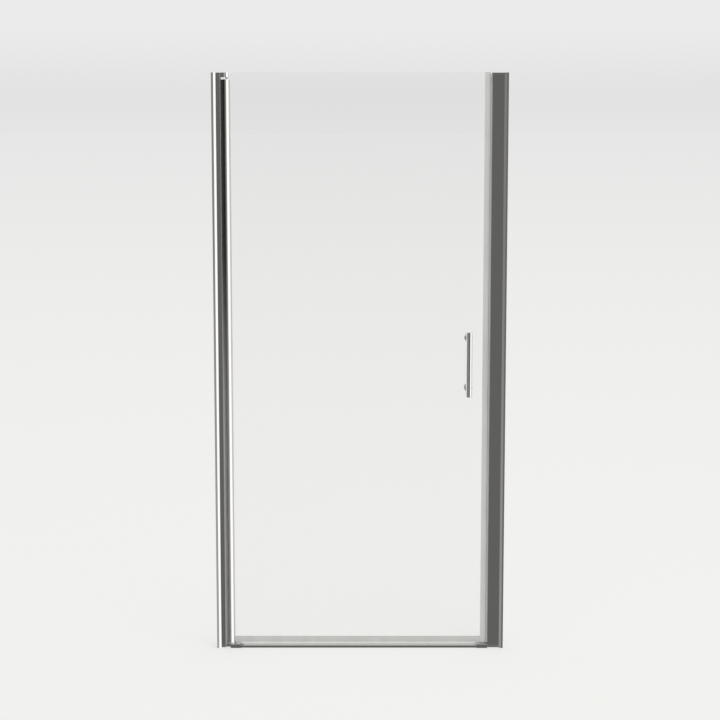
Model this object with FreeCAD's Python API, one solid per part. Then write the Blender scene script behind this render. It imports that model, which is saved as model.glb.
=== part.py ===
import FreeCAD, Part
import math
import os

# Framed pivot shower door: a glass leaf on a hinge stile between two wall channels.
# Millimetres. X runs right, Y runs into the shower, Z runs up.
# The origin is the centre of the sill's underside, on the middle plane of the glass.

# Overall opening
door_height = 1829.0
door_width = 920.0

# Glass pane
glass_thickness = 6.0
glass_lift = 19.8
glass_top_drop = 1.0
glass_play = 0.1
notch_end_room = 2.0
notch_side_room = 1.0

# Wall channels, both alike and mirrored
channel_reach = 13.8
channel_web = 2.0
channel_flange = 1.8
channel_face = 6.5
channel_face_fall = 1.36
channel_front_stand = 4.5
channel_nose_lip = 0.9
channel_clearance = 0.3
channel_corner = 1.2
wall_hole_diameter = 5.0
wall_hole_inset = 150.0
wall_hole_inner_pitch = 520.0

# Jambs that slide into the channels
jamb_depth = 30.0
jamb_wall = 1.6
jamb_corner = 0.6
jamb_back_gap = 4.0
hinge_jamb_face = 14.2
strike_jamb_face = 37.2
foot_gap = 1.6
foot_height = 6.9
strike_cap_height = 5.0
plate_edge = 0.5
plug_depth = 22.0
plug_clearance = 0.1

# Hinge stile and its pivots
pivot_gap = 8.0
stile_nose_radius = 11.5
stile_tail = 5.9
stile_crest_angle = 6.5
stile_mouth_lip = 2.1
stile_wall = 1.8
slot_wall = 1.6
glass_grip = 7.0
top_cap_height = 14.0
top_running_gap = 6.0
top_bush_flange = 1.0
bottom_bush_flange = 1.0
bush_radius = 6.9
bush_depth = 22.0
bush_clearance = 0.05
bush_end_play = 0.1
pivot_pin_radius = 4.0
pivot_pin_clearance = 0.05
pin_seat_clearance = 0.02
pivot_pin_reach = 18.0
pivot_pin_root = 8.0
thrust_washer_radius = 8.0
thrust_washer_thickness = 1.2
washer_gap = 0.1
neck_half_width = 8.0

# Seals
gasket_gap = 0.05
gasket_thickness = 2.3
gasket_lip = 1.15
gasket_depth = 4.5
gasket_bead = 4.0
gasket_bead_flat = 2.0
hinge_seal_strip = 4.0
hinge_seal_setback = 1.0
hinge_lip_half_width = 4.0
swing_gap = 0.4
edge_seal_width = 17.0
edge_seal_leg = 1.3
edge_seal_web = 1.2
edge_seal_side_wall = 1.4
edge_seal_face_wall = 0.8
edge_seal_clear = 2.0
edge_seal_stand = 3.0
magnet_thickness = 2.4
magnet_width = 7.0
magnet_play = 0.1
magnet_gap = 0.5
carrier_wall = 0.95
stop_flange_reach = 11.0
stop_flange_thickness = 1.6
stop_gap = 0.6
sweep_leg = 1.3
sweep_clip_height = 15.8
sweep_web = 1.5
sweep_fin_thickness = 1.4
sweep_end_gap = 0.5
fin_gap = 0.5

# Sill and its end blocks
sill_height = 8.0
sill_depth = 30.0
sill_flat = 19.0
sill_back_height = 4.6
sill_wall = 1.4
sill_nose_radius = 0.8
sill_socket = 6.0
sill_play = 0.2
block_top_wall = 4.6
block_side_wall = 4.0
block_length = 34.0
block_overlap = 4.0
block_corner = 0.6

# Fasteners
lock_screw_shank = 3.9
lock_screw_length = 9.0
lock_screw_head = 7.4
lock_screw_head_height = 2.2
lock_screw_end_inset = 240.0
lock_screw_count = 3
bracket_screw_shank = 3.0
bracket_screw_length = 8.0
bracket_screw_head = 5.6
bracket_screw_head_height = 1.8
screw_hole_play = 0.1
screw_head_round = 0.8
screw_recess_length = 3.4
screw_recess_width = 0.8
screw_recess_depth = 1.0
cover_play = 0.15
cover_side_wall = 1.45
cover_top_wall = 1.05
cover_round = 1.1

# Pull handle
handle_height = 924.0
handle_length = 205.5
handle_setback = 56.6
handle_standoff = 45.0
handle_diameter = 19.0
handle_wall = 1.5
handle_cap_thickness = 3.0
handle_cap_plug = 8.0
handle_cap_dome = 1.0
post_end_inset = 23.5
post_diameter = 12.0
post_tip_diameter = 7.0
post_tip_root = 14.5
rosette_diameter = 26.0
rosette_thickness = 5.0
rosette_round = 2.5
pad_diameter = 17.0
pad_thickness = 0.8
glass_hole_diameter = 12.0
sleeve_clearance = 0.1
bolt_diameter = 5.0
bolt_clearance = 0.1
bolt_depth_in_post = 16.0
bolt_head_diameter = 9.0
bolt_head_height = 3.2
inner_cap_height = 7.5
inner_cap_wall = 2.0
inner_cap_round = 2.5

# Places that follow from the sizes above
half_width = door_width / 2
jamb_half = jamb_depth / 2
glass_half = glass_thickness / 2
channel_inside = jamb_half + channel_clearance
channel_back = channel_inside + channel_flange

hinge_jamb_left = -half_width + channel_web + jamb_back_gap
hinge_jamb_right = -half_width + channel_reach + hinge_jamb_face
strike_jamb_right = half_width - channel_web - jamb_back_gap
strike_jamb_left = half_width - channel_reach - strike_jamb_face
jamb_bottom = foot_gap + foot_height
hinge_jamb_top = door_height - top_cap_height
strike_jamb_top = door_height - strike_cap_height

block_height = sill_height + block_top_wall
block_depth = sill_depth + 2 * block_side_wall
pivot_x = hinge_jamb_right + pivot_gap + stile_nose_radius
hinge_seal_face = hinge_jamb_right + hinge_seal_strip
hinge_block_left = pivot_x - block_overlap
hinge_block_right = hinge_block_left + block_length
strike_block_right = strike_jamb_left
strike_block_left = strike_block_right - block_length

stile_mouth = pivot_x + stile_tail
stile_bottom = block_height + thrust_washer_thickness + washer_gap + bottom_bush_flange
stile_top = hinge_jamb_top - top_running_gap - top_bush_flange
seal_inside = glass_half + gasket_gap
slot_half = seal_inside + gasket_thickness + gasket_gap
slot_floor = stile_mouth - glass_grip - glass_play
turning_radius = stile_nose_radius + swing_gap

magnet_pocket = magnet_thickness + 2 * magnet_play
carrier_width = magnet_pocket + 2 * carrier_wall
edge_seal_pocket = magnet_pocket + 2 * edge_seal_face_wall
edge_seal_half_depth = magnet_width / 2 + magnet_play + edge_seal_side_wall
edge_seal_bottom = block_height + edge_seal_clear
edge_seal_right = strike_jamb_left - carrier_width - magnet_gap
edge_seal_left = edge_seal_right - edge_seal_width

glass_left = stile_mouth - glass_grip
glass_right = edge_seal_right - edge_seal_pocket - edge_seal_web - glass_play
glass_top = door_height - glass_top_drop
edge_seal_top = glass_top + edge_seal_stand

lock_screw_x = half_width - (channel_web + jamb_back_gap + channel_reach) / 2
hinge_bracket_screw_x = (-half_width + channel_reach + hinge_jamb_right) / 2
strike_bracket_screw_x = (half_width - channel_reach + strike_jamb_left) / 2
low_plug_screw_z = jamb_bottom + plug_depth / 2
hinge_top_screw_z = hinge_jamb_top - plug_depth / 2
strike_top_screw_z = strike_jamb_top - plug_depth / 2
lock_hole_radius = lock_screw_shank / 2 + screw_hole_play
bracket_hole_radius = bracket_screw_shank / 2 + screw_hole_play

handle_x = glass_right - handle_setback
handle_y = -glass_half - handle_standoff
handle_bottom = handle_height - handle_length / 2
handle_top = handle_height + handle_length / 2
post_heights = [handle_bottom + post_end_inset, handle_top - post_end_inset]
wall_hole_heights = [
    wall_hole_inset,
    door_height / 2 - wall_hole_inner_pitch / 2,
    door_height / 2 + wall_hole_inner_pitch / 2,
    door_height - wall_hole_inset,
]
lock_screw_step = (door_height - 2 * lock_screw_end_inset) / (lock_screw_count - 1)
lock_screw_heights = [lock_screw_end_inset + i * lock_screw_step for i in range(lock_screw_count)]

LEFT = -1
RIGHT = 1
FRONT = -1
BACK = 1
UP = FreeCAD.Vector(0, 0, 1)
DOWN = FreeCAD.Vector(0, 0, -1)
OUTWARD = FreeCAD.Vector(0, -1, 0)
INWARD = FreeCAD.Vector(0, 1, 0)
TOWARDS_RIGHT = FreeCAD.Vector(1, 0, 0)
SAME_PLACE = 0.01


def box(x0, x1, y0, y1, z0, z1):
    return Part.makeBox(x1 - x0, y1 - y0, z1 - z0, FreeCAD.Vector(x0, y0, z0))


def rod(radius, x, y, z, direction, length):
    return Part.makeCylinder(radius, length, FreeCAD.Vector(x, y, z), direction)


def tube(radius, bore, x, y, z, direction, length):
    return rod(radius, x, y, z, direction, length).cut(rod(bore, x, y, z, direction, length))


def extrude_plan(points, z0, z1):
    """A straight-sided plan outline, raised from z0 to z1."""
    corners = [FreeCAD.Vector(x, y, z0) for x, y in points]
    face = Part.Face(Part.makePolygon(corners + corners[:1]))
    return face.extrude(UP * (z1 - z0))


def extrude_section(points, x0, x1):
    """A straight-sided section in Y and Z, drawn out from x0 to x1."""
    corners = [FreeCAD.Vector(x0, y, z) for y, z in points]
    face = Part.Face(Part.makePolygon(corners + corners[:1]))
    return face.extrude(TOWARDS_RIGHT * (x1 - x0))


def edges_at(shape, **place):
    """The edges of a shape whose ends all lie at the given x, y or z."""

    def lies_there(vertex):
        return all(abs(getattr(vertex.Point, axis) - level) < SAME_PLACE for axis, level in place.items())

    return [edge for edge in shape.Edges if all(lies_there(vertex) for vertex in edge.Vertexes)]


def export(node, *solids):
    shape = solids[0] if len(solids) == 1 else Part.makeCompound(list(solids))
    shape.exportStep("parts/" + node + ".step")


# Wall channels

def wall_channel(side):
    """Channel with a bevelled front flange that laps the jamb and a plain flange inside the shower."""
    wall = side * half_width
    front = -jamb_half - channel_front_stand
    nose_front = -channel_inside - channel_nose_lip
    wall_front = front + channel_face_fall
    face_slope = -channel_face_fall / channel_face
    bevel_slope = (nose_front - front) / (channel_reach - channel_face)
    face_sheet = channel_flange * math.hypot(1, face_slope)
    bevel_sheet = channel_flange * math.hypot(1, bevel_slope)
    crease_inside = channel_face + (face_sheet - bevel_sheet) / (bevel_slope - face_slope)
    land_start = channel_face + (-channel_inside - front - bevel_sheet) / bevel_slope
    section = [
        (0, wall_front),
        (channel_face, front),
        (channel_reach, nose_front),
        (channel_reach, -channel_inside),
        (land_start, -channel_inside),
        (crease_inside, wall_front + face_slope * crease_inside + face_sheet),
        (channel_web, wall_front + face_slope * channel_web + face_sheet),
        (channel_web, channel_inside),
        (channel_reach, channel_inside),
        (channel_reach, channel_back),
        (0, channel_back),
    ]
    plan = [(wall - side * reach, y) for reach, y in section]
    channel = extrude_plan(plan, 0, door_height)
    for reach, y in section[:2]:
        crease = edges_at(channel, x=wall - side * reach, y=y)
        channel = channel.makeFillet(channel_corner, crease)
    away_from_wall = TOWARDS_RIGHT * (-side)
    for z in wall_hole_heights:
        channel = channel.cut(rod(wall_hole_diameter / 2, wall, 0, z, away_from_wall, channel_web))
    for z in lock_screw_heights:
        hole = rod(lock_hole_radius, side * lock_screw_x, channel_inside, z, INWARD, channel_flange)
        channel = channel.cut(hole)
    return channel


# Jambs

def jamb_block(left, right, z0, z1):
    """A solid length of the jamb's outline, with its rounded corners."""
    block = box(left, right, -jamb_half, jamb_half, z0, z1)
    corners = []
    for x in (left, right):
        for y in (-jamb_half, jamb_half):
            corners += edges_at(block, x=x, y=y)
    return block.makeFillet(jamb_corner, corners)


def jamb_tube(left, right, top):
    inside = jamb_half - jamb_wall
    bore = box(left + jamb_wall, right - jamb_wall, -inside, inside, jamb_bottom, top)
    return jamb_block(left, right, jamb_bottom, top).cut(bore)


def jamb_plug(left, right, z0, z1):
    """The block of an end fitting that slides into the jamb's bore."""
    inset = jamb_wall + plug_clearance
    inside = jamb_half - inset
    return box(left + inset, right - inset, -inside, inside, z0, z1)


def drill_from_shower(shape, x, z, radius, depth):
    return shape.cut(rod(radius, x, jamb_half, z, OUTWARD, depth))


hinge_jamb = jamb_tube(hinge_jamb_left, hinge_jamb_right, hinge_jamb_top)
strike_jamb = jamb_tube(strike_jamb_left, strike_jamb_right, strike_jamb_top)
for z in lock_screw_heights:
    hinge_jamb = drill_from_shower(hinge_jamb, -lock_screw_x, z, lock_hole_radius, jamb_wall)
    strike_jamb = drill_from_shower(strike_jamb, lock_screw_x, z, lock_hole_radius, jamb_wall)
for z in (low_plug_screw_z, hinge_top_screw_z):
    hinge_jamb = drill_from_shower(hinge_jamb, hinge_bracket_screw_x, z, bracket_hole_radius, jamb_wall)
for z in (low_plug_screw_z, strike_top_screw_z):
    strike_jamb = drill_from_shower(strike_jamb, strike_bracket_screw_x, z, bracket_hole_radius, jamb_wall)

# The stop flange of the strike jamb stands behind the edge seal, above the sill's end block.
stop_front = edge_seal_half_depth + stop_gap
stop_flange = box(
    strike_jamb_left - stop_flange_reach,
    strike_jamb_left + jamb_wall,
    stop_front,
    stop_front + stop_flange_thickness,
    edge_seal_bottom,
    strike_jamb_top,
)
strike_jamb = strike_jamb.fuse(stop_flange).removeSplitter()


# Pivot brackets and the strike jamb's end fittings

def stile_outline(inset, z0, z1):
    """Round nose about the pivot, then faces that taper to the glass."""
    crest = math.radians(stile_crest_angle)
    crest_reach = stile_nose_radius * math.sin(crest)
    crest_half = stile_nose_radius * math.cos(crest)
    outer_mouth_half = slot_half + stile_mouth_lip
    slope = (crest_half - outer_mouth_half) / (stile_tail + crest_reach)
    radius = stile_nose_radius - inset
    tail = stile_tail - inset
    mouth_half = outer_mouth_half + inset * slope - inset * math.hypot(1, slope)
    crest_x = pivot_x - radius * math.sin(crest)
    crest_y = radius * math.cos(crest)
    front_crest = FreeCAD.Vector(crest_x, -crest_y, z0)
    back_crest = FreeCAD.Vector(crest_x, crest_y, z0)
    nose = FreeCAD.Vector(pivot_x - radius, 0, z0)
    front_mouth = FreeCAD.Vector(pivot_x + tail, -mouth_half, z0)
    back_mouth = FreeCAD.Vector(pivot_x + tail, mouth_half, z0)
    wire = Part.Wire(
        [
            Part.Arc(back_crest, nose, front_crest).toShape(),
            Part.LineSegment(front_crest, front_mouth).toShape(),
            Part.LineSegment(front_mouth, back_mouth).toShape(),
            Part.LineSegment(back_mouth, back_crest).toShape(),
        ]
    )
    return Part.Face(wire).extrude(UP * (z1 - z0))


def drill_for_bracket_screw(fitting, x, z):
    depth = bracket_screw_length + screw_hole_play
    return drill_from_shower(fitting, x, z, bracket_hole_radius, depth).removeSplitter()


def end_plate(left, right, z0, z1):
    """Plate over a jamb's end, with eased edges above and below."""
    plate = jamb_block(left, right, z0, z1)
    return plate.makeFillet(plate_edge, edges_at(plate, z=z0) + edges_at(plate, z=z1))


def top_fitting(left, right, top):
    """End plate of a jamb, level with the channels, and the plug under it."""
    plate = end_plate(left, right, top, door_height)
    return plate.fuse(jamb_plug(left, right, top - plug_depth, top))


def foot_fitting(left, right, block, neck_from, neck_to):
    """Foot plate, plug and neck of a jamb, joined to the sill's end block."""
    foot = end_plate(left, right, foot_gap, jamb_bottom)
    foot = foot.fuse(jamb_plug(left, right, jamb_bottom, jamb_bottom + plug_depth))
    neck = box(neck_from, neck_to, -neck_half_width, neck_half_width, foot_gap, jamb_bottom)
    return foot.fuse(neck).fuse(block)


def sill_section(grow):
    """The sill's outline in Y and Z, grown outwards by the given play."""
    front = -sill_depth / 2 - grow
    back = sill_depth / 2 + grow
    crest = -sill_depth / 2 + sill_flat
    top = sill_height + grow
    return [
        (front, -grow),
        (front, top),
        (crest, top),
        (back, sill_back_height + grow),
        (back, -grow),
    ]


def end_block(left, right, socket_left):
    """Block at one end of the sill, with the socket that the sill's end slides into."""
    block = box(left, right, -block_depth / 2, block_depth / 2, 0, block_height)
    block = block.makeFillet(block_corner, edges_at(block, z=block_height))
    return block.cut(extrude_section(sill_section(sill_play), socket_left, socket_left + sill_socket))


pin_seat = pivot_pin_radius + pin_seat_clearance
pin_running_bore = pivot_pin_radius + pivot_pin_clearance
pin_length = pivot_pin_root + pivot_pin_reach

top_neck = box(
    hinge_jamb_right - jamb_wall, pivot_x, -neck_half_width, neck_half_width, hinge_jamb_top, door_height
)
top_bracket = top_fitting(hinge_jamb_left, hinge_jamb_right, hinge_jamb_top).fuse(top_neck)
top_bracket = top_bracket.fuse(stile_outline(0, hinge_jamb_top, door_height))
top_bracket = top_bracket.cut(rod(pin_seat, pivot_x, 0, hinge_jamb_top, UP, pivot_pin_root))
top_bracket = drill_for_bracket_screw(top_bracket, hinge_bracket_screw_x, hinge_top_screw_z)

hinge_end = end_block(hinge_block_left, hinge_block_right, hinge_block_right - sill_socket)
bottom_bracket = foot_fitting(
    hinge_jamb_left, hinge_jamb_right, hinge_end, hinge_jamb_right - jamb_wall, pivot_x
)
bottom_bracket = bottom_bracket.cut(rod(pin_seat, pivot_x, 0, block_height, DOWN, pivot_pin_root))
bottom_bracket = drill_for_bracket_screw(bottom_bracket, hinge_bracket_screw_x, low_plug_screw_z)

strike_end = end_block(strike_block_left, strike_block_right, strike_block_left)
strike_foot = foot_fitting(
    strike_jamb_left,
    strike_jamb_right,
    strike_end,
    strike_block_right - block_corner,
    strike_jamb_left + jamb_wall,
)
strike_foot = drill_for_bracket_screw(strike_foot, strike_bracket_screw_x, low_plug_screw_z)

strike_cap = top_fitting(strike_jamb_left, strike_jamb_right, strike_jamb_top)
strike_cap = drill_for_bracket_screw(strike_cap, strike_bracket_screw_x, strike_top_screw_z)

top_pin = rod(pivot_pin_radius, pivot_x, 0, hinge_jamb_top + pivot_pin_root, DOWN, pin_length)
bottom_pin = rod(pivot_pin_radius, pivot_x, 0, block_height - pivot_pin_root, UP, pin_length)
thrust_washer = tube(
    thrust_washer_radius, pin_running_bore, pivot_x, 0, block_height, UP, thrust_washer_thickness
)


# Hinge stile

bush_bore = bush_radius + bush_clearance
slot_box_half = slot_half + slot_wall
stile = stile_outline(0, stile_bottom, stile_top)
chamber = stile_outline(stile_wall, stile_bottom, stile_top)
chamber = chamber.cut(
    box(slot_floor - slot_wall, stile_mouth, -slot_box_half, slot_box_half, stile_bottom, stile_top)
)
stile = stile.cut(chamber)
stile = stile.cut(box(slot_floor, stile_mouth, -slot_half, slot_half, stile_bottom, stile_top))
for z, direction in ((stile_bottom, UP), (stile_top, DOWN)):
    stile = stile.cut(rod(bush_bore, pivot_x, 0, z, direction, bush_depth + bush_end_play))


def pivot_bush(flange_floor, flange_top, seat, into_stile):
    """Flange with the stile's outline and a round body that fits into the stile, bored for the pin."""
    bush = stile_outline(0, flange_floor, flange_top)
    bush = bush.fuse(rod(bush_radius, pivot_x, 0, seat, into_stile, bush_depth))
    bush = bush.cut(rod(pin_running_bore, pivot_x, 0, flange_floor, UP, flange_top - flange_floor))
    return bush.cut(rod(pin_running_bore, pivot_x, 0, seat, into_stile, bush_depth)).removeSplitter()


bottom_bush = pivot_bush(stile_bottom - bottom_bush_flange, stile_bottom, stile_bottom, UP)
top_bush = pivot_bush(stile_top, stile_top + top_bush_flange, stile_top, DOWN)


# Glass pane, notched at the two hinge corners to clear the pivots

bush_notch_right = pivot_x + bush_radius + notch_side_room
cap_notch_right = pivot_x + turning_radius + swing_gap
low_notch_top = stile_bottom + bush_depth + notch_end_room
high_notch_floor = stile_top - bush_depth - notch_end_room
cap_notch_floor = stile_top - notch_end_room
glass = box(glass_left, glass_right, -glass_half, glass_half, glass_lift, glass_top)
glass = glass.cut(box(glass_left, bush_notch_right, -glass_half, glass_half, glass_lift, low_notch_top))
glass = glass.cut(box(glass_left, bush_notch_right, -glass_half, glass_half, high_notch_floor, glass_top))
glass = glass.cut(box(glass_left, cap_notch_right, -glass_half, glass_half, cap_notch_floor, glass_top))
for z in post_heights:
    glass = glass.cut(rod(glass_hole_diameter / 2, handle_x, -glass_half, z, INWARD, glass_thickness))


# Glazing gaskets, one each side of the glass

def glazing_gasket(side):
    """Strip between the glass and the stile's slot, with a bead that shows beside the stile."""
    outside = seal_inside + gasket_thickness
    plan = [
        (stile_mouth - gasket_depth, side * seal_inside),
        (stile_mouth + gasket_bead, side * seal_inside),
        (stile_mouth + gasket_bead, side * (seal_inside + gasket_lip)),
        (stile_mouth + gasket_bead_flat, side * outside),
        (stile_mouth - gasket_depth, side * outside),
    ]
    gasket = extrude_plan(plan, glass_lift, cap_notch_floor)
    for z, direction in ((stile_bottom, UP), (stile_top, DOWN)):
        gasket = gasket.cut(rod(bush_bore, pivot_x, 0, z, direction, bush_depth + notch_end_room))
    return gasket


# Hinge seal: a strip down the jamb's side, and a lip hollowed to follow the stile's nose

strip_half = jamb_half - hinge_seal_setback
hinge_seal = box(hinge_jamb_right, hinge_seal_face, -strip_half, strip_half, jamb_bottom, stile_top)
lip = box(
    hinge_seal_face, pivot_x, -hinge_lip_half_width, hinge_lip_half_width, jamb_bottom, stile_top
)
lip = lip.cut(rod(turning_radius, pivot_x, 0, jamb_bottom, UP, stile_top - jamb_bottom))
hinge_seal = hinge_seal.fuse(lip).removeSplitter()


# Edge seal with its magnet, and the magnet on the strike jamb

def magnet_bar(middle_x, z0, z1, play):
    half_thickness = magnet_thickness / 2 + play
    half_width_of_bar = magnet_width / 2 + play
    return box(
        middle_x - half_thickness, middle_x + half_thickness, -half_width_of_bar, half_width_of_bar, z0, z1
    )


edge_leg_outside = seal_inside + edge_seal_leg
pocket_left = edge_seal_right - edge_seal_pocket
edge_magnet_x = edge_seal_right - edge_seal_pocket / 2
edge_seal = box(
    edge_seal_left, pocket_left, -edge_leg_outside, edge_leg_outside, edge_seal_bottom, edge_seal_top
)
edge_seal = edge_seal.fuse(
    box(
        pocket_left,
        edge_seal_right,
        -edge_seal_half_depth,
        edge_seal_half_depth,
        edge_seal_bottom,
        edge_seal_top,
    )
)
edge_seal = edge_seal.cut(
    box(
        edge_seal_left,
        pocket_left - edge_seal_web,
        -seal_inside,
        seal_inside,
        edge_seal_bottom,
        edge_seal_top,
    )
)
edge_seal = edge_seal.cut(magnet_bar(edge_magnet_x, edge_seal_bottom, edge_seal_top, magnet_play))
edge_seal = edge_seal.removeSplitter()
edge_magnet = magnet_bar(edge_magnet_x, edge_seal_bottom, edge_seal_top, 0)

carrier_magnet_x = strike_jamb_left - carrier_width / 2
carrier = box(
    strike_jamb_left - carrier_width,
    strike_jamb_left,
    -edge_seal_half_depth,
    edge_seal_half_depth,
    edge_seal_bottom,
    strike_jamb_top,
)
carrier = carrier.cut(magnet_bar(carrier_magnet_x, edge_seal_bottom, strike_jamb_top, magnet_play))
strike_magnet = magnet_bar(carrier_magnet_x, edge_seal_bottom, strike_jamb_top, 0)


# Bottom sweep: a clip on the glass and a fin that runs over the sill

sweep_left = stile_mouth + gasket_bead + sweep_end_gap
sweep_right = edge_seal_left - sweep_end_gap
sweep_floor = glass_lift - glass_play - sweep_web
sweep_top = sweep_floor + sweep_clip_height
sweep_outside = seal_inside + sweep_leg
fin_half = sweep_fin_thickness / 2
fin_shelf = block_height + fin_gap
fin_floor = sill_height + fin_gap
block_clear_radius = math.hypot(hinge_block_right - pivot_x, block_depth / 2) + fin_gap
sweep = box(sweep_left, sweep_right, -sweep_outside, sweep_outside, sweep_floor, sweep_top)
sweep = sweep.cut(
    box(sweep_left, sweep_right, -seal_inside, seal_inside, sweep_floor + sweep_web, sweep_top)
)
sweep = sweep.fuse(box(sweep_left, sweep_right, -fin_half, fin_half, fin_shelf, sweep_floor))
sweep = sweep.fuse(
    box(
        pivot_x + block_clear_radius,
        strike_block_left - fin_gap,
        -fin_half,
        fin_half,
        fin_floor,
        fin_shelf,
    )
).removeSplitter()


# Sill bar, hollow, falling towards the shower

sill_left = hinge_block_right - sill_socket + sill_play
sill_right = strike_block_left + sill_socket - sill_play
sill = extrude_section(sill_section(0), sill_left, sill_right)
sill = sill.makeFillet(sill_nose_radius, edges_at(sill, y=-sill_depth / 2, z=sill_height))
sill = sill.cut(extrude_section(sill_section(-sill_wall), sill_left, sill_right))


# Screws

def pan_screw(x, seat_y, z, shank, length, head, head_height):
    """A screw driven from the shower side, with a rounded pan head and a cross recess."""
    crown = seat_y + head_height
    cap = rod(head / 2, x, seat_y, z, INWARD, head_height)
    cap = cap.makeFillet(screw_head_round, edges_at(cap, y=crown))
    arm = screw_recess_length / 2
    half = screw_recess_width / 2
    floor = crown - screw_recess_depth
    recess = box(x - arm, x + arm, floor, crown, z - half, z + half)
    recess = recess.fuse(box(x - half, x + half, floor, crown, z - arm, z + arm))
    screw = rod(shank / 2, x, seat_y, z, OUTWARD, length)
    return screw.fuse(cap).cut(recess).removeSplitter()


def lock_screw(x, z):
    """Screw that locks a jamb in its channel."""
    return pan_screw(
        x,
        channel_back,
        z,
        lock_screw_shank,
        lock_screw_length,
        lock_screw_head,
        lock_screw_head_height,
    )


def bracket_screw(x, z):
    """Screw that holds an end fitting's plug in its jamb."""
    return pan_screw(
        x,
        jamb_half,
        z,
        bracket_screw_shank,
        bracket_screw_length,
        bracket_screw_head,
        bracket_screw_head_height,
    )


def screw_cover(x, z):
    """A snap cover over a lock screw's head."""
    hollow_radius = lock_screw_head / 2 + cover_play
    hollow_depth = lock_screw_head_height + cover_play
    height = hollow_depth + cover_top_wall
    cover = rod(hollow_radius + cover_side_wall, x, channel_back, z, INWARD, height)
    cover = cover.makeFillet(cover_round, edges_at(cover, y=channel_back + height))
    return cover.cut(rod(hollow_radius, x, channel_back, z, INWARD, hollow_depth))


# Pull handle

handle_radius = handle_diameter / 2
handle_bore = handle_radius - handle_wall
post_tip_radius = post_tip_diameter / 2
bolt_hole_radius = bolt_diameter / 2 + bolt_clearance
outer_pad_front = -glass_half - pad_thickness
rosette_front = outer_pad_front - rosette_thickness
inner_pad_back = glass_half + pad_thickness

handle_bar = tube(
    handle_radius,
    handle_bore,
    handle_x,
    handle_y,
    handle_bottom + handle_cap_thickness,
    UP,
    handle_length - 2 * handle_cap_thickness,
)
for z in post_heights:
    tip_hole = rod(post_tip_radius + screw_hole_play, handle_x, handle_y, z, INWARD, handle_diameter)
    handle_bar = handle_bar.cut(tip_hole)


def handle_cap(end_z, inwards):
    """End cap of the bar, with a plug that fits into its bore."""
    cap = rod(handle_radius, handle_x, handle_y, end_z, inwards, handle_cap_thickness)
    cap = cap.makeFillet(handle_cap_dome, edges_at(cap, z=end_z))
    plug_length = handle_cap_thickness + handle_cap_plug
    plug = rod(handle_bore - plug_clearance, handle_x, handle_y, end_z, inwards, plug_length)
    return cap.fuse(plug).removeSplitter()


def handle_post(z):
    """A post coped to the bar, with a tip in the bar's wall and a blind bolt hole behind."""
    post = rod(post_diameter / 2, handle_x, handle_y, z, INWARD, rosette_front - handle_y)
    post = post.cut(rod(handle_radius, handle_x, handle_y, z - post_diameter, UP, 2 * post_diameter))
    tip_length = handle_wall + post_tip_root
    post = post.fuse(rod(post_tip_radius, handle_x, handle_y + handle_bore, z, INWARD, tip_length))
    hole_depth = bolt_depth_in_post + screw_hole_play
    return post.cut(rod(bolt_hole_radius, handle_x, rosette_front, z, OUTWARD, hole_depth)).removeSplitter()


def rosette(z):
    disc = rod(rosette_diameter / 2, handle_x, rosette_front, z, INWARD, rosette_thickness)
    disc = disc.makeFillet(rosette_round, edges_at(disc, y=rosette_front))
    return disc.cut(rod(bolt_hole_radius, handle_x, rosette_front, z, INWARD, rosette_thickness))


def handle_washer(diameter, z, y0, y1):
    """A ring round one of the handle's bolts."""
    return tube(diameter / 2, bolt_hole_radius, handle_x, y0, z, INWARD, y1 - y0)


def handle_bolt(z):
    """A bolt driven from inside, through the glass and the rosette into the post."""
    length = inner_pad_back - rosette_front + bolt_depth_in_post
    bolt = rod(bolt_diameter / 2, handle_x, inner_pad_back, z, OUTWARD, length)
    head = rod(bolt_head_diameter / 2, handle_x, inner_pad_back, z, INWARD, bolt_head_height)
    return bolt.fuse(head).removeSplitter()


def inner_cap(z):
    """A domed cap that hides the bolt's head inside the shower."""
    cap = rod(rosette_diameter / 2, handle_x, inner_pad_back, z, INWARD, inner_cap_height)
    cap = cap.makeFillet(inner_cap_round, edges_at(cap, y=inner_pad_back + inner_cap_height))
    hollow_radius = bolt_head_diameter / 2 + bolt_clearance
    hollow_depth = inner_cap_height - inner_cap_wall
    return cap.cut(rod(hollow_radius, handle_x, inner_pad_back, z, INWARD, hollow_depth))


os.makedirs("parts", exist_ok=True)

export("hinge_wall_channel", wall_channel(LEFT))
export("strike_wall_channel", wall_channel(RIGHT))
export("hinge_jamb", hinge_jamb)
export("strike_jamb", strike_jamb)
export("top_pivot_bracket", top_bracket)
export("bottom_pivot_bracket", bottom_bracket)
export("top_pivot_pin", top_pin)
export("bottom_pivot_pin", bottom_pin)
export("pivot_thrust_washer", thrust_washer)
export("strike_top_cap", strike_cap)
export("strike_foot_bracket", strike_foot)
export("sill_bar", sill)
export("hinge_seal", hinge_seal)
export("strike_magnet_carrier", carrier)
export("strike_magnet", strike_magnet)
export("hinge_lock_screws", *[lock_screw(-lock_screw_x, z) for z in lock_screw_heights])
export("strike_lock_screws", *[lock_screw(lock_screw_x, z) for z in lock_screw_heights])
export(
    "lock_screw_covers",
    *[screw_cover(side * lock_screw_x, z) for side in (LEFT, RIGHT) for z in lock_screw_heights],
)
export(
    "bracket_screws",
    bracket_screw(hinge_bracket_screw_x, low_plug_screw_z),
    bracket_screw(hinge_bracket_screw_x, hinge_top_screw_z),
    bracket_screw(strike_bracket_screw_x, low_plug_screw_z),
    bracket_screw(strike_bracket_screw_x, strike_top_screw_z),
)

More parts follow.
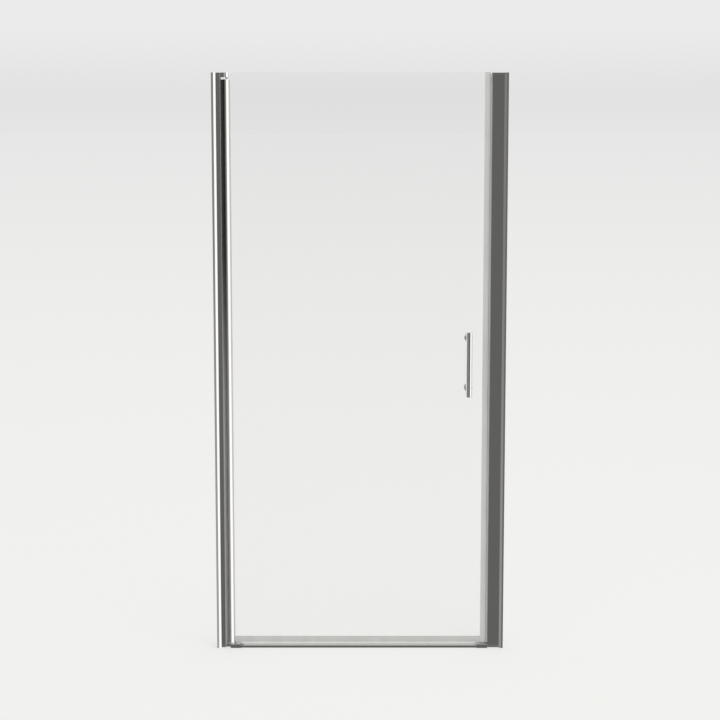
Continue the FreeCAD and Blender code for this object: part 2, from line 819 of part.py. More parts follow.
export("glass_pane", glass)
export("hinge_stile", stile)
export("stile_top_bush", top_bush)
export("stile_bottom_bush", bottom_bush)
export("outer_glazing_gasket", glazing_gasket(FRONT))
export("inner_glazing_gasket", glazing_gasket(BACK))
export("edge_seal", edge_seal)
export("edge_magnet", edge_magnet)
export("bottom_sweep", sweep)
export("handle_bar", handle_bar)
export("handle_end_caps", handle_cap(handle_bottom, UP), handle_cap(handle_top, DOWN))
export("handle_posts", *[handle_post(z) for z in post_heights])
export("handle_rosettes", *[rosette(z) for z in post_heights])
export(
    "outer_handle_pads",
    *[handle_washer(pad_diameter, z, outer_pad_front, -glass_half) for z in post_heights],
)
export(
    "inner_handle_pads",
    *[handle_washer(pad_diameter, z, glass_half, inner_pad_back) for z in post_heights],
)
sleeve_diameter = glass_hole_diameter - 2 * sleeve_clearance
export(
    "glass_hole_sleeves",
    *[handle_washer(sleeve_diameter, z, -glass_half, glass_half) for z in post_heights],
)
export("handle_bolts", *[handle_bolt(z) for z in post_heights])
export("inner_handle_caps", *[inner_cap(z) for z in post_heights])
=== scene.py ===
import math

import bmesh
import bpy
from mathutils import Matrix, Vector


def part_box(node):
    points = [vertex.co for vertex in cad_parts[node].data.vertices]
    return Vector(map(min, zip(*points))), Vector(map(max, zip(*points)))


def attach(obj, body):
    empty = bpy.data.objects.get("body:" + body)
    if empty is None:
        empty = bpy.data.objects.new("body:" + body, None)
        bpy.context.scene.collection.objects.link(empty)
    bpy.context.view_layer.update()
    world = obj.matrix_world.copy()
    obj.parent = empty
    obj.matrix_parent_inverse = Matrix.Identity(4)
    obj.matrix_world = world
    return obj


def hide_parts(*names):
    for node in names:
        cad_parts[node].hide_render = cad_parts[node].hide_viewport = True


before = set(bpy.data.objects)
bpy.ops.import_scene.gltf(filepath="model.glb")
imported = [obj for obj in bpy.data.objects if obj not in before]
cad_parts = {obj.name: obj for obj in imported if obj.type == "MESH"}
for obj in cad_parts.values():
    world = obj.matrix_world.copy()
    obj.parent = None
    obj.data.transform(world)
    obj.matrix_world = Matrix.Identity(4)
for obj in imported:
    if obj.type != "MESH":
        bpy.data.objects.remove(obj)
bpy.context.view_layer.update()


# Wall channels: two mirrored aluminium extrusions, screwed to the walls to take up their lean.
# They are cut to length, polished and bright anodised, and keep faint die lines along their
# length under a slight haze.

class Wire:
    """A socket of a shader tree. Sums and products of wires add Math nodes."""

    def __init__(self, tree, socket):
        self.tree = tree
        self.socket = socket

    def node(self, kind, settings=None, sockets=None, output=0):
        """Adds a node, first with its settings and then its sockets, and gives one output."""
        added = self.tree.nodes.new(kind)
        for name, value in (settings or {}).items():
            if name == "stops":
                stops = added.color_ramp.elements
                for _ in value[2:]:
                    stops.new(1.0)
                for stop, (position, colour) in zip(stops, value):
                    stop.position = position
                    stop.color = colour
            else:
                setattr(added, name, value)
        for key, value in (sockets or {}).items():
            if isinstance(value, Wire):
                self.tree.links.new(value.socket, added.inputs[key])
            else:
                added.inputs[key].default_value = value
        return Wire(self.tree, added.outputs[output])

    def math(self, operation, first, second):
        return self.node("ShaderNodeMath", {"operation": operation}, {0: first, 1: second})

    def __add__(self, other):
        return self.math("ADD", self, other)

    def __radd__(self, other):
        return self.math("ADD", other, self)

    def __rsub__(self, other):
        return self.math("SUBTRACT", other, self)

    def __mul__(self, other):
        return self.math("MULTIPLY", self, other)

    def __rmul__(self, other):
        return self.math("MULTIPLY", other, self)

    def __truediv__(self, other):
        return self.math("DIVIDE", self, other)

    def __rtruediv__(self, other):
        return self.math("DIVIDE", other, self)


def start_finish(name, constants):
    """A material with these constants on its shader, and a wire of its object coordinates."""
    material = bpy.data.materials.new(name)
    material.use_nodes = True
    shader = material.node_tree.nodes["Principled BSDF"]
    for socket, value in constants.items():
        shader.inputs[socket].default_value = value
    coordinates = material.node_tree.nodes.new("ShaderNodeTexCoord")
    return material, Wire(material.node_tree, coordinates.outputs["Object"])


def end_finish(material, wires):
    """Feeds the wires to the material's shader."""
    shader = material.node_tree.nodes["Principled BSDF"]
    for socket, wire in wires.items():
        material.node_tree.links.new(wire.socket, shader.inputs[socket])
    return material


def grain(place, per_metre, detail=2.0):
    """Noise with about this many grains per metre along x, y and z."""
    stretched = place.node("ShaderNodeMapping", None, {"Vector": place, "Scale": per_metre})
    return place.node("ShaderNodeTexNoise", None, {"Vector": stretched, "Scale": 1.0, "Detail": detail})


def over(mask, under, upper):
    """Colour under where the mask is 0 and upper where it is 1."""
    # A Mix node has its colours in sockets 6 and 7, and gives their mix as output 2.
    return mask.node("ShaderNodeMix", {"data_type": "RGBA"}, {0: mask, 6: under, 7: upper}, 2)


def between(mask, dark, light):
    """Colour from dark to light as the mask goes from 0 to 1."""
    return over(mask, (*dark, 1.0), (*light, 1.0))


def relief(height, strength, depth):
    """Bumps of this depth in metres."""
    bumps = {"Height": height, "Strength": strength, "Distance": depth}
    return height.node("ShaderNodeBump", None, bumps)


def extruded_aluminium(name, lines_per_metre):
    """Polished and anodised extrusion with its die lines along one axis."""
    material, place = start_finish(name, {"Metallic": 1.0})
    die_lines = grain(place, lines_per_metre, 3.0)
    haze = grain(place, (14.0, 14.0, 5.0))
    return end_finish(material, {
        "Base Color": between(die_lines, (0.80, 0.79, 0.772), (0.87, 0.86, 0.842)),
        "Roughness": 0.03 + 0.05 * die_lines + 0.05 * haze,
        "Normal": relief(die_lines, 0.05, 0.00005),
    })


def dress(material, *nodes):
    """Gives CAD nodes this finish."""
    for node in nodes:
        for material_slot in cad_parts[node].material_slots:
            material_slot.material = material


upright_aluminium = extruded_aluminium("polished_upright_extrusion", (900.0, 900.0, 1.5))
dress(upright_aluminium, "hinge_wall_channel", "strike_wall_channel")


# Jambs: aluminium tubes that slide in the channels until the leaf is plumb and are then locked.
# They come from the same polished bar stock as the channels, and the strike jamb has a flange
# that stops the leaf.

dress(upright_aluminium, "hinge_jamb", "strike_jamb")


# End fittings: zinc castings, polished and chrome plated, plugged into the jambs' ends. They
# carry the pivots at the hinge side and hold the sill between them at the foot.

def chrome_plate(name, smudges_per_metre):
    """Bright plate over a polished casting or turning, with a faint ripple and smudges."""
    material, place = start_finish(name, {"Metallic": 1.0})
    smudges = grain(place, smudges_per_metre, 3.0)
    ripple = grain(place, (260.0, 260.0, 260.0), 1.0)
    return end_finish(material, {
        "Base Color": between(smudges, (0.82, 0.812, 0.80), (0.89, 0.882, 0.87)),
        "Roughness": 0.02 + 0.07 * smudges,
        "Normal": relief(ripple, 0.04, 0.0002),
    })


cast_chrome = chrome_plate("chromed_casting", (90.0, 90.0, 90.0))
dress(cast_chrome, "top_pivot_bracket", "bottom_pivot_bracket", "strike_top_cap", "strike_foot_bracket")


# Pivots: turned stainless pins pressed into the end fittings, and a nylon washer that carries
# the leaf on the lower one.

def turned_steel(name):
    """Stainless steel with fine tool marks."""
    material, place = start_finish(name, {"Metallic": 1.0})
    tool_marks = grain(place, (60.0, 60.0, 2600.0))
    stain = grain(place, (150.0, 150.0, 150.0))
    return end_finish(material, {
        "Base Color": between(stain, (0.58, 0.585, 0.59), (0.70, 0.705, 0.71)),
        "Roughness": 0.18 + 0.14 * tool_marks,
        "Normal": relief(tool_marks, 0.15, 0.00004),
    })


def moulded_plastic(name, dark, light, roughness):
    """Moulded plastic with a fine eroded skin."""
    material, place = start_finish(name, {"IOR": 1.48})
    skin = grain(place, (2200.0, 2200.0, 2200.0))
    cloud = grain(place, (70.0, 70.0, 70.0))
    return end_finish(material, {
        "Base Color": between(cloud, dark, light),
        "Roughness": roughness + 0.16 * skin,
        "Normal": relief(skin, 0.25, 0.00004),
    })


steel = turned_steel("turned_stainless_steel")
white_nylon = moulded_plastic("moulded_white_nylon", (0.80, 0.80, 0.77), (0.88, 0.88, 0.86), 0.35)
dress(steel, "top_pivot_pin", "bottom_pivot_pin")
dress(white_nylon, "pivot_thrust_washer")


# Sill: a low aluminium extrusion with a sloped top, cut square and held between the two end
# blocks on a bead of sealant. Its die lines run along the opening.

dress(extruded_aluminium("polished_sill_extrusion", (1.5, 900.0, 900.0)), "sill_bar")


# Hinge seal: a soft dark rubber strip pressed on the hinge jamb's side, with a middle lip that is
# hollowed so that the stile's round nose turns against it. It is extruded and cut to length. Its
# colour is painted shade by height: near black high in the gap, and paler towards its foot.

def bent_corners(corners, bends=5):
    """Outline through corners (across, deep, radius), each rounded by its radius."""
    outline = []
    for number, (across, deep, radius) in enumerate(corners):
        here = Vector((across, deep))
        if radius == 0:
            outline.append(here)
            continue
        to_last = (Vector(corners[number - 1][:2]) - here).normalized()
        to_next = (Vector(corners[(number + 1) % len(corners)][:2]) - here).normalized()
        half_angle = to_last.angle(to_next) / 2
        reach = radius / math.tan(half_angle)
        centre = here + (to_last + to_next).normalized() * radius / math.sin(half_angle)
        start = (here + to_last * reach - centre).normalized()
        end = (here + to_next * reach - centre).normalized()
        for bend in range(bends + 1):
            outline.append(centre + radius * start.slerp(end, bend / bends))
    return outline


strip_tree = bpy.data.node_groups.new("cut_strip", "GeometryNodeTree")


def strip_socket(name, kind, direction="INPUT"):
    """Adds a named input or output to the tree that cuts strips."""
    return strip_tree.interface.new_socket(name, in_out=direction, socket_type="NodeSocket" + kind)


strip_socket("Section", "Geometry")
length_input = strip_socket("Length", "Float")
finish_input = strip_socket("Finish", "Material")
strip_socket("Strip", "Geometry", "OUTPUT")
strip_in = strip_tree.nodes.new("NodeGroupInput")
strip_fill = strip_tree.nodes.new("GeometryNodeFillCurve")
strip_draw = strip_tree.nodes.new("GeometryNodeExtrudeMesh")
strip_foot = strip_tree.nodes.new("GeometryNodeFlipFaces")
strip_join = strip_tree.nodes.new("GeometryNodeJoinGeometry")
strip_weld = strip_tree.nodes.new("GeometryNodeMergeByDistance")
strip_real = strip_tree.nodes.new("GeometryNodeRealizeInstances")
strip_paint = strip_tree.nodes.new("GeometryNodeSetMaterial")
strip_out = strip_tree.nodes.new("NodeGroupOutput")
strip_draw.inputs["Offset"].default_value = (0.0, 0.0, 1.0)
strip_draw.inputs["Individual"].default_value = False
strip_weld.inputs["Distance"].default_value = 0.000001
for source, target in (
    (strip_in.outputs["Section"], strip_fill.inputs["Curve"]),
    (strip_fill.outputs["Mesh"], strip_draw.inputs["Mesh"]),
    (strip_in.outputs["Length"], strip_draw.inputs["Offset Scale"]),
    (strip_fill.outputs["Mesh"], strip_foot.inputs["Mesh"]),
    (strip_foot.outputs["Mesh"], strip_join.inputs["Geometry"]),
    (strip_draw.outputs["Mesh"], strip_join.inputs["Geometry"]),
    (strip_join.outputs["Geometry"], strip_weld.inputs["Geometry"]),
    (strip_weld.outputs["Geometry"], strip_real.inputs["Geometry"]),
    (strip_real.outputs["Geometry"], strip_paint.inputs["Geometry"]),
    (strip_in.outputs["Finish"], strip_paint.inputs["Material"]),
    (strip_paint.outputs["Geometry"], strip_out.inputs["Strip"]),
):
    strip_tree.links.new(source, target)
crease_angle = math.radians(40.0)


def cut_strip(name, outlines, length, place, finish):
    """A strip of this section and length, drawn along z and then put in its place."""
    section = bpy.data.curves.new(name + "_section", "CURVE")
    section.dimensions = "2D"
    section.fill_mode = "NONE"
    for outline in outlines:
        spline = section.splines.new("POLY")
        spline.points.add(len(outline) - 1)
        for point, (across, deep) in zip(spline.points, outline):
            point.co = (across, deep, 0.0, 1.0)
        spline.use_cyclic_u = True
    drawn = bpy.data.objects.new(name + "_drawn", section)
    bpy.context.scene.collection.objects.link(drawn)
    modifier = drawn.modifiers.new("strip", "NODES")
    modifier.node_group = strip_tree
    modifier[length_input.identifier] = length
    modifier[finish_input.identifier] = finish
    evaluated = drawn.evaluated_get(bpy.context.evaluated_depsgraph_get())
    mesh = bpy.data.meshes.new_from_object(evaluated)
    bpy.data.objects.remove(drawn)
    bpy.data.curves.remove(section)
    mesh.materials.pop(index=0)  # the empty slot that the filled section brings
    mesh.transform(place)
    shell = bmesh.new()
    shell.from_mesh(mesh)
    bmesh.ops.recalc_face_normals(shell, faces=shell.faces)
    shell.to_mesh(mesh)
    shell.free()
    mesh.polygons.foreach_set("use_smooth", [True] * len(mesh.polygons))
    mesh.set_sharp_from_angle(angle=crease_angle)
    mesh.name = name
    piece = bpy.data.objects.new(name, mesh)
    bpy.context.scene.collection.objects.link(piece)
    return piece


def fade(wire, start, end):
    """Goes smoothly from 0 at start to 1 at end."""
    limits = {"Value": wire, "From Min": start, "From Max": end}
    return wire.node("ShaderNodeMapRange", {"interpolation_type": "SMOOTHSTEP"}, limits)


def rubber_skin(place):
    """The bumps of fine drag lines on extruded rubber, and its dull bloom."""
    drag = grain(place, (1400.0, 1400.0, 4.0))
    bloom = grain(place, (40.0, 40.0, 12.0))
    return relief(drag, 0.3, 0.00005), bloom


def measured(length):
    """A length from the frame's meshes, rounded to a hundredth of a millimetre."""
    return round(length, 5)


dark_rubber, seal_place = start_finish("dark_rubber", {"IOR": 1.5})
seal_drag, seal_bloom = rubber_skin(seal_place)
seal_height = seal_place.node("ShaderNodeSeparateXYZ", None, {0: seal_place}, "Z")
# Painted shade: the seal's colour runs from near black above this height to a paler grey below the next
# one, with random bloom mixed in.
painted_dark_above = 1.35
painted_pale_below = 0.67
painted_shade_by_height = fade(seal_height, painted_dark_above, painted_pale_below) * (0.85 + 0.3 * seal_bloom)
end_finish(dark_rubber, {
    "Base Color": between(painted_shade_by_height, (0.034, 0.034, 0.033), (0.30, 0.296, 0.288)),
    "Roughness": 0.34 + 0.2 * seal_bloom,
    "Normal": seal_drag,
})
hinge_seal_low, hinge_seal_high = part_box("hinge_seal")
stile_low, stile_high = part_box("hinge_stile")
pin_low, pin_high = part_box("top_pivot_pin")
pivot_x = measured((pin_low.x + pin_high.x) / 2)
swing_gap = 0.0004
hollow_radius = measured(pivot_x - stile_low.x + swing_gap)
seal_thickness = 0.004
lip_half_width = 0.004
sharp_edge = 0.0002
soft_edge = 0.0008
hollow_half_angle = math.asin(lip_half_width / hollow_radius)
hollow_steps = 12
hollow_turns = [hollow_half_angle * (2 * step / hollow_steps - 1) for step in range(hollow_steps + 1)]
hollow_arc = [
    Vector((pivot_x - hollow_radius * math.cos(turn), hollow_radius * math.sin(turn)))
    for turn in hollow_turns
]
strip_face = hinge_seal_low.x + seal_thickness
seal_outline = bent_corners([
    (strip_face, lip_half_width, 0.0),
    (strip_face, hinge_seal_high.y, soft_edge),
    (hinge_seal_low.x, hinge_seal_high.y, sharp_edge),
    (hinge_seal_low.x, hinge_seal_low.y, sharp_edge),
    (strip_face, hinge_seal_low.y, soft_edge),
    (strip_face, -lip_half_width, 0.0),
])
hinge_seal = cut_strip(
    "hinge_rubber_seal",
    [seal_outline + hollow_arc],
    hinge_seal_high.z - hinge_seal_low.z,
    Matrix.Translation((0.0, 0.0, hinge_seal_low.z)),
    dark_rubber,
)
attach(hinge_seal, "frame")
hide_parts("hinge_seal")


# Magnet carrier: a translucent vinyl pocket on the strike jamb's face, with a strip of bonded
# magnet slid in from the end. The edge of the leaf meets it when the door is shut.

def clear_vinyl(name, dark, light, cover, lines_per_metre):
    """Translucent vinyl, cloudy in places, with faint lines from its die."""
    material, place = start_finish(name, {"IOR": 1.52})
    cloud = grain(place, (30.0, 30.0, 9.0))
    lines = grain(place, lines_per_metre)
    return end_finish(material, {
        "Base Color": between(cloud, dark, light),
        "Roughness": 0.20 + 0.16 * lines,
        "Alpha": cover + 0.08 * cloud,
        "Normal": relief(lines, 0.2, 0.00004),
    })


def soft_rubber(name, dark, light):
    """Clean extruded rubber, or the rubber that magnet powder is bonded in."""
    material, place = start_finish(name, {"IOR": 1.5})
    drag, bloom = rubber_skin(place)
    return end_finish(material, {
        "Base Color": between(bloom, dark, light),
        "Roughness": 0.42 + 0.2 * bloom,
        "Normal": drag,
    })


magnet_play = 0.0001


def magnet_pocket(magnet_node):
    """Outline of the pocket that a magnet slides into."""
    low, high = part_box(magnet_node)
    left = low.x - magnet_play
    right = high.x + magnet_play
    front = low.y - magnet_play
    back = high.y + magnet_play
    return [(left, front), (right, front), (right, back), (left, back)]


upright_vinyl = clear_vinyl(
    "clear_upright_vinyl", (0.62, 0.625, 0.61), (0.69, 0.695, 0.68), 0.86, (900.0, 900.0, 3.0)
)
carrier_low, carrier_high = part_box("strike_magnet_carrier")
round_edge = 0.001
carrier_outline = bent_corners([
    (carrier_low.x, carrier_low.y, round_edge),
    (carrier_high.x, carrier_low.y, sharp_edge),
    (carrier_high.x, carrier_high.y, sharp_edge),
    (carrier_low.x, carrier_high.y, round_edge),
])
carrier = cut_strip(
    "strike_vinyl_carrier",
    [carrier_outline, magnet_pocket("strike_magnet")],
    carrier_high.z - carrier_low.z,
    Matrix.Translation((0.0, 0.0, carrier_low.z)),
    upright_vinyl,
)
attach(carrier, "frame")
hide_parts("strike_magnet_carrier")
bonded_magnet = soft_rubber("bonded_magnet", (0.150, 0.140, 0.136), (0.210, 0.200, 0.196))
dress(bonded_magnet, "strike_magnet", "edge_magnet")


# Screws: stainless pan heads that lock the jambs in their channels and hold the end fittings,
# driven from the shower side. Grey moulded covers are pushed over the lock screws.

cover_plastic = moulded_plastic("silver_cover_plastic", (0.52, 0.53, 0.54), (0.60, 0.61, 0.62), 0.22)
dress(steel, "hinge_lock_screws", "strike_lock_screws", "bracket_screws")
dress(cover_plastic, "lock_screw_covers")


# Hinge stile: an aluminium extrusion with a round nose and two faces that taper to the glass,
# which it grips in a slot. White nylon bushes pressed into its ends turn on the pivots.

dress(upright_aluminium, "hinge_stile")
dress(white_nylon, "stile_top_bush", "stile_bottom_bush")


# Glass: one pane of clear toughened float glass, notched for the bushes and drilled for the
# handle before it was hardened. All its edges are ground flat, arrissed and polished.

clear_glass, glass_place = start_finish("clear_toughened_glass", {"Transmission Weight": 1.0, "IOR": 1.5})
water_marks = grain(glass_place, (5.0, 5.0, 1.6), 4.0)
end_finish(clear_glass, {
    "Base Color": between(water_marks, (0.990, 0.993, 0.990), (0.998, 0.999, 0.997)),
    "Roughness": 0.008 * water_marks,
})
glass_edge, edge_place = start_finish("polished_glass_edge", {"Transmission Weight": 0.6, "IOR": 1.5})
wheel_marks = grain(edge_place, (500.0, 500.0, 500.0))
end_finish(glass_edge, {
    "Base Color": between(wheel_marks, (0.46, 0.62, 0.56), (0.56, 0.71, 0.65)),
    "Roughness": 0.04 + 0.1 * wheel_marks,
})


def stood_up(thickness):
    """Stands a drawn plate on its edge, with its middle on the middle plane of the door."""
    return Matrix(((1, 0, 0, 0), (0, 0, -1, thickness / 2), (0, 1, 0, 0), (0, 0, 0, 1)))


glass_low, glass_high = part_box("glass_pane")
top_bush_low, top_bush_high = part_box("stile_top_bush")
_, bottom_bush_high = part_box("stile_bottom_bush")
post_low, post_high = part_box("handle_posts")
pane_thickness = glass_high.y - glass_low.y
notch_side_room = 0.001
notch_end_room = 0.002
bush_right = round(top_bush_high.x, 4)  # the mesh of a round bush falls a little short of its edge
bush_notch_right = measured(bush_right + notch_side_room)
cap_notch_right = measured(pivot_x + hollow_radius + swing_gap)
foot_notch_top = measured(bottom_bush_high.z + notch_end_room)
bush_notch_bottom = measured(top_bush_low.z - notch_end_room)
cap_notch_bottom = measured(stile_high.z - notch_end_room)
notch_radius = 0.0015
corner_radius = 0.0015
pane_outline = bent_corners([
    (bush_notch_right, glass_low.z, corner_radius),
    (glass_high.x, glass_low.z, corner_radius),
    (glass_high.x, glass_high.z, corner_radius),
    (cap_notch_right, glass_high.z, corner_radius),
    (cap_notch_right, cap_notch_bottom, notch_radius),
    (bush_notch_right, cap_notch_bottom, notch_radius),
    (bush_notch_right, bush_notch_bottom, notch_radius),
    (glass_low.x, bush_notch_bottom, corner_radius),
    (glass_low.x, foot_notch_top, corner_radius),
    (bush_notch_right, foot_notch_top, notch_radius),
])
post_radius = measured((post_high.x - post_low.x) / 2)
hole_x = measured(post_low.x + post_radius)
hole_heights = (measured(post_low.z + post_radius), measured(post_high.z - post_radius))
hole_radius = 0.006
hole_steps = 48
hole_turns = [math.tau * step / hole_steps for step in range(hole_steps)]
hole_outlines = [
    [(hole_x + hole_radius * math.cos(turn), height + hole_radius * math.sin(turn)) for turn in hole_turns]
    for height in hole_heights
]
pane = cut_strip(
    "clear_glass_pane",
    [pane_outline] + hole_outlines,
    pane_thickness,
    stood_up(pane_thickness),
    clear_glass,
)
pane.data.materials.append(glass_edge)
edge_slot = 1
for face in pane.data.polygons:
    if abs(face.normal.y) < 0.5:
        face.material_index = edge_slot
arris_width = 0.0006
arris_angle = math.radians(60.0)
arris_cut = pane.modifiers.new("arris", "BEVEL")
arris_cut.width = arris_width
arris_cut.segments = 1
arris_cut.limit_method = "ANGLE"
arris_cut.angle_limit = arris_angle
arris_cut.material = edge_slot
pane.visible_shadow = False
pane.visible_diffuse = False
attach(pane, "leaf")
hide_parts("glass_pane")


# Glazing gaskets: two light grey strips rolled into the stile's slot from both sides of the
# glass. A rounded bead stays outside beside the stile.

gasket_grey = soft_rubber("grey_gasket_rubber", (0.50, 0.50, 0.49), (0.60, 0.60, 0.59))
bead_thickness = 0.00115
bead_flat = 0.002
bead_round = 0.0005
bead_shoulder = 0.0006
bush_tuck = 0.0004
beside_bush = measured(bush_right - bush_tuck)
for gasket_node, side in (("outer_glazing_gasket", -1), ("inner_glazing_gasket", 1)):
    gasket_low, gasket_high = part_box(gasket_node)
    glass_side = min(abs(gasket_low.y), abs(gasket_high.y)) * side
    metal_side = max(abs(gasket_low.y), abs(gasket_high.y)) * side
    for length_name, root, bottom, top in (
        ("_foot", beside_bush, gasket_low.z, foot_notch_top),
        ("_strip", gasket_low.x, foot_notch_top, bush_notch_bottom),
        ("_head", beside_bush, bush_notch_bottom, gasket_high.z),
    ):
        gasket_outline = bent_corners([
            (root, glass_side, sharp_edge),
            (gasket_high.x, glass_side, sharp_edge),
            (gasket_high.x, glass_side + side * bead_thickness, bead_round),
            (measured(stile_high.x + bead_flat), metal_side, bead_shoulder),
            (root, metal_side, sharp_edge),
        ])
        gasket = cut_strip(
            gasket_node + length_name,
            [gasket_outline],
            top - bottom,
            Matrix.Translation((0.0, 0.0, bottom)),
            gasket_grey,
        )
        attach(gasket, "leaf")
        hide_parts(gasket_node)


# Edge seal: a translucent vinyl strip pushed on the closing edge of the glass, with two legs
# that grip the pane and a pocket that holds the leaf's own magnet.

edge_low, edge_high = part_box("edge_seal")
edge_magnet_low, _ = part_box("edge_magnet")
grip_play = 0.00005
leg_thickness = 0.0013
leg_inside = measured(pane_thickness / 2 + grip_play)
leg_outside = measured(leg_inside + leg_thickness)
pocket_wall = 0.0008
pocket_left = measured(edge_magnet_low.x - magnet_play - pocket_wall)
slot_play = 0.0001
slot_floor = measured(glass_high.x + slot_play)
eased_edge = 0.0003
leg_tip = 0.0005
edge_outline = bent_corners([
    (edge_low.x, -leg_outside, leg_tip),
    (pocket_left, -leg_outside, sharp_edge),
    (pocket_left, edge_low.y, eased_edge),
    (edge_high.x, edge_low.y, round_edge),
    (edge_high.x, edge_high.y, round_edge),
    (pocket_left, edge_high.y, eased_edge),
    (pocket_left, leg_outside, sharp_edge),
    (edge_low.x, leg_outside, leg_tip),
    (edge_low.x, leg_inside, eased_edge),
    (slot_floor, leg_inside, eased_edge),
    (slot_floor, -leg_inside, eased_edge),
    (edge_low.x, -leg_inside, eased_edge),
])
edge_seal = cut_strip(
    "edge_vinyl_seal",
    [edge_outline, magnet_pocket("edge_magnet")],
    edge_high.z - edge_low.z,
    Matrix.Translation((0.0, 0.0, edge_low.z)),
    upright_vinyl,
)
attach(edge_seal, "leaf")
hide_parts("edge_seal")


# Bottom sweep: a stiff clear clip pushed on the lower edge of the glass, extruded together with
# a thin soft fin that runs just over the sill and is cut back beside the end blocks.

sweep_low, sweep_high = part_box("bottom_sweep")
washer_low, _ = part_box("pivot_thrust_washer")
_, hinge_block_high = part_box("bottom_pivot_bracket")
strike_block_low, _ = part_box("strike_foot_bracket")
along_sill = Matrix(((0, 0, 1, sweep_low.x), (1, 0, 0, 0), (0, 1, 0, 0), (0, 0, 0, 1)))
clip_height = 0.0158
clip_floor = measured(sweep_high.z - clip_height)
clip_web_top = measured(glass_low.z - grip_play)
leg_lip = 0.0004
clip_outline = bent_corners([
    (-leg_outside, clip_floor, soft_edge),
    (leg_outside, clip_floor, soft_edge),
    (leg_outside, sweep_high.z, leg_tip),
    (leg_inside, sweep_high.z, leg_lip),
    (leg_inside, clip_web_top, eased_edge),
    (-leg_inside, clip_web_top, eased_edge),
    (-leg_inside, sweep_high.z, leg_lip),
    (-leg_outside, sweep_high.z, leg_tip),
])
clip = cut_strip(
    "sweep_vinyl_clip",
    [clip_outline],
    sweep_high.x - sweep_low.x,
    along_sill,
    clear_vinyl("clear_clip_vinyl", (0.63, 0.63, 0.61), (0.70, 0.70, 0.68), 0.76, (3.0, 900.0, 900.0)),
)
fin_gap = 0.0005
fin_thickness = 0.0014
fin_joint = 0.00002
fin_root = clip_floor - fin_joint
fin_shelf = measured(washer_low.z + fin_gap)
block_swing = math.hypot(hinge_block_high.x - pivot_x, hinge_block_high.y)
fin_left = round(pivot_x + block_swing + fin_gap, 4)
fin_right = measured(strike_block_low.x - fin_gap)
fin_outline = bent_corners([
    (sweep_low.x, fin_root, 0.0),
    (sweep_low.x, fin_shelf, soft_edge),
    (fin_left, fin_shelf, soft_edge),
    (fin_left, sweep_low.z, soft_edge),
    (fin_right, sweep_low.z, soft_edge),
    (fin_right, fin_shelf, soft_edge),
    (sweep_high.x, fin_shelf, soft_edge),
    (sweep_high.x, fin_root, 0.0),
])
fin = cut_strip(
    "sweep_vinyl_fin",
    [fin_outline],
    fin_thickness,
    stood_up(fin_thickness),
    clear_vinyl("soft_fin_vinyl", (0.88, 0.89, 0.86), (0.94, 0.95, 0.92), 0.62, (3.0, 900.0, 900.0)),
)
for sweep_piece in (clip, fin):
    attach(sweep_piece, "leaf")
    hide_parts("bottom_sweep")


# Handle: a polished and chromed tube with pressed-in end caps, on two posts with round
# rosettes. Bolts through sleeved holes in the glass pull it against clear pads, and turned
# caps cover their heads inside the shower.

drawn_chrome = chrome_plate("chromed_handle", (120.0, 120.0, 35.0))
dress(drawn_chrome, "handle_bar", "handle_end_caps", "handle_posts", "handle_rosettes", "inner_handle_caps")
dress(steel, "handle_bolts")
clear_pad, pad_place = start_finish("clear_moulded_pad", {"IOR": 1.49})
pad_cloud = grain(pad_place, (300.0, 300.0, 300.0))
end_finish(clear_pad, {
    "Base Color": between(pad_cloud, (0.74, 0.76, 0.75), (0.84, 0.86, 0.85)),
    "Roughness": 0.15 + 0.15 * pad_cloud,
    "Alpha": 0.42 + 0.12 * pad_cloud,
})
dress(clear_pad, "outer_handle_pads", "inner_handle_pads", "glass_hole_sleeves")


# Studio: a pale floor with a painted pool of light, brightest at the right front, that fades into a
# pale backdrop, a broad soft lamp from the upper right, and dark and white screens round the door that only
# polished metal shows.

floor_reach = 900.0
floor_signs = ((-1, -1), (1, -1), (1, 1), (-1, 1))
floor_corners = [(floor_reach * across, floor_reach * deep, 0.0) for across, deep in floor_signs]
floor_mesh = bpy.data.meshes.new("studio_floor")
floor_mesh.from_pydata(floor_corners, [], [(0, 1, 2, 3)])
floor = bpy.data.objects.new("studio_floor", floor_mesh)
bpy.context.scene.collection.objects.link(floor)
floor_finish, floor_place = start_finish("pale_floor", {"Roughness": 1.0, "Specular IOR Level": 0.0})
# Painted light: the floor's colour is brightest near this spot at the right front and dims with distance
# from it.
painted_light_centre = (1.5, -1.5, 0.0)
painted_light_reach = 32.0
painted_light_distance = floor_place.node(
    "ShaderNodeVectorMath", {"operation": "DISTANCE"}, {0: floor_place, 1: painted_light_centre}, "Value"
)
painted_light_nearness = 1.0 / (1.0 + painted_light_distance / painted_light_reach)
floor_colour = between(painted_light_nearness * painted_light_nearness, (0.798, 0.798, 0.796), (0.902, 0.899, 0.878))
end_finish(floor_finish, {"Base Color": floor_colour})


def looked_at(wire):
    """1 for what the camera sees, straight or through the glass, and 0 for all other light."""
    straight = wire.node("ShaderNodeLightPath", None, None, "Is Camera Ray")
    through_glass = wire.node("ShaderNodeLightPath", None, None, "Is Transmission Ray")
    return wire.math("MAXIMUM", straight, through_glass)


shadow_fill = 0.6
floor_nodes = floor_finish.node_tree.nodes
lit_floor = Wire(floor_finish.node_tree, floor_nodes["Principled BSDF"].outputs["BSDF"])
bright_floor = floor_place.node("ShaderNodeEmission", None, {"Color": floor_colour})
floor_shares = {0: shadow_fill * looked_at(floor_place), 1: lit_floor, 2: bright_floor}
filled_floor = floor_place.node("ShaderNodeMixShader", None, floor_shares)
floor_finish.node_tree.links.new(filled_floor.socket, floor_nodes["Material Output"].inputs["Surface"])
floor_mesh.materials.append(floor_finish)
floor.visible_glossy = False

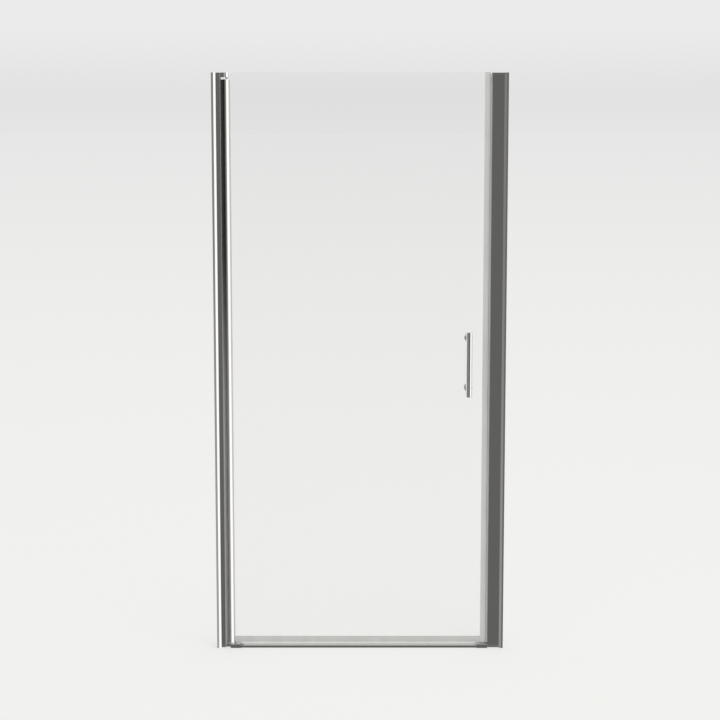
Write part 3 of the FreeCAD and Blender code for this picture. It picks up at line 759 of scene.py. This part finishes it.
world = bpy.data.worlds.new("studio")
world.use_nodes = True
bpy.context.scene.world = world
sky = Wire(world.node_tree, world.node_tree.nodes.new("ShaderNodeTexCoord").outputs["Generated"])
east = sky.node("ShaderNodeSeparateXYZ", None, {0: sky}, "X")
north = sky.node("ShaderNodeSeparateXYZ", None, {0: sky}, "Y")
rise = sky.node("ShaderNodeSeparateXYZ", None, {0: sky}, "Z")
bearing = sky.math("ARCTAN2", east, 0.0 - north) / math.tau + 0.5


def grey(level):
    """An even grey."""
    return (level, level, level, 1.0)


# Each row is a bearing in degrees to the right of the camera, the level there and the level lower down.
screens = [
    (-180, 0.10, 0.16), (-110, 0.09, 0.20), (-82, 0.15, 0.36), (-56, 0.17, 0.20), (-44, 0.24, 0.34),
    (-28, 0.26, 0.44), (-20, 0.20, 0.36), (-14, 0.136, 0.136), (22, 0.136, 0.136), (30, 0.15, 0.15),
    (35, 1.22, 1.22), (81, 1.22, 1.22), (87, 0.74, 0.82), (112, 0.66, 0.76), (140, 0.72, 0.78),
    (160, 0.22, 0.26), (180, 0.10, 0.16),
]
level_stops = [(turn / 360 + 0.5, grey(level)) for turn, level, _ in screens]
low_stops = [(turn / 360 + 0.5, grey(low)) for turn, _, low in screens]
level_screens = sky.node("ShaderNodeValToRGB", {"stops": level_stops}, {0: bearing})
low_screens = sky.node("ShaderNodeValToRGB", {"stops": low_stops}, {0: bearing})
lower_down = fade(rise, -0.02, -0.30)
overhead = fade(rise, 0.22, 0.55)
underfoot = fade(rise, -0.40, -0.75)
walls = over(lower_down, level_screens, low_screens)
walls_and_top = over(overhead, walls, grey(0.92))
screens_round = over(underfoot, walls_and_top, grey(0.36))
above_horizon = fade(rise, -0.004, 0.02)
high_up = fade(rise, 0.018, 0.062)
backdrop_foot = over(above_horizon, (0.786, 0.786, 0.785, 1.0), grey(0.766))
backdrop = over(high_up, backdrop_foot, grey(0.832))
seen = looked_at(sky)
mirrored = sky.node("ShaderNodeLightPath", None, None, "Is Glossy Ray") * (1 - seen)
ambient = over(seen, grey(0.88), backdrop)
surroundings = over(mirrored, ambient, screens_round)
world.node_tree.links.new(surroundings.socket, world.node_tree.nodes["Background"].inputs["Color"])

lamp_data = bpy.data.lights.new("soft_lamp", "SUN")
lamp_data.energy = 0.55
lamp_data.angle = math.radians(60.0)
lamp = bpy.data.objects.new("soft_lamp", lamp_data)
lamp_direction = Vector((-0.42, 0.60, -0.68))
lamp.rotation_euler = lamp_direction.to_track_quat("-Z", "Y").to_euler()
lamp.visible_glossy = False
lamp.visible_transmission = False
bpy.context.scene.collection.objects.link(lamp)

camera_data = bpy.data.cameras.new("camera")
camera_data.sensor_width = 36.0
camera_data.lens = 86.15
camera_data.clip_end = 3000.0
camera = bpy.data.objects.new("camera", camera_data)
camera.location = (-0.0003, -5.3957, 1.6516)
camera_tilt = 7.5865
camera.rotation_euler = (math.radians(90.0 - camera_tilt), 0.0, 0.0)
bpy.context.scene.collection.objects.link(camera)
bpy.context.scene.camera = camera
bpy.context.scene.view_settings.view_transform = "Standard"
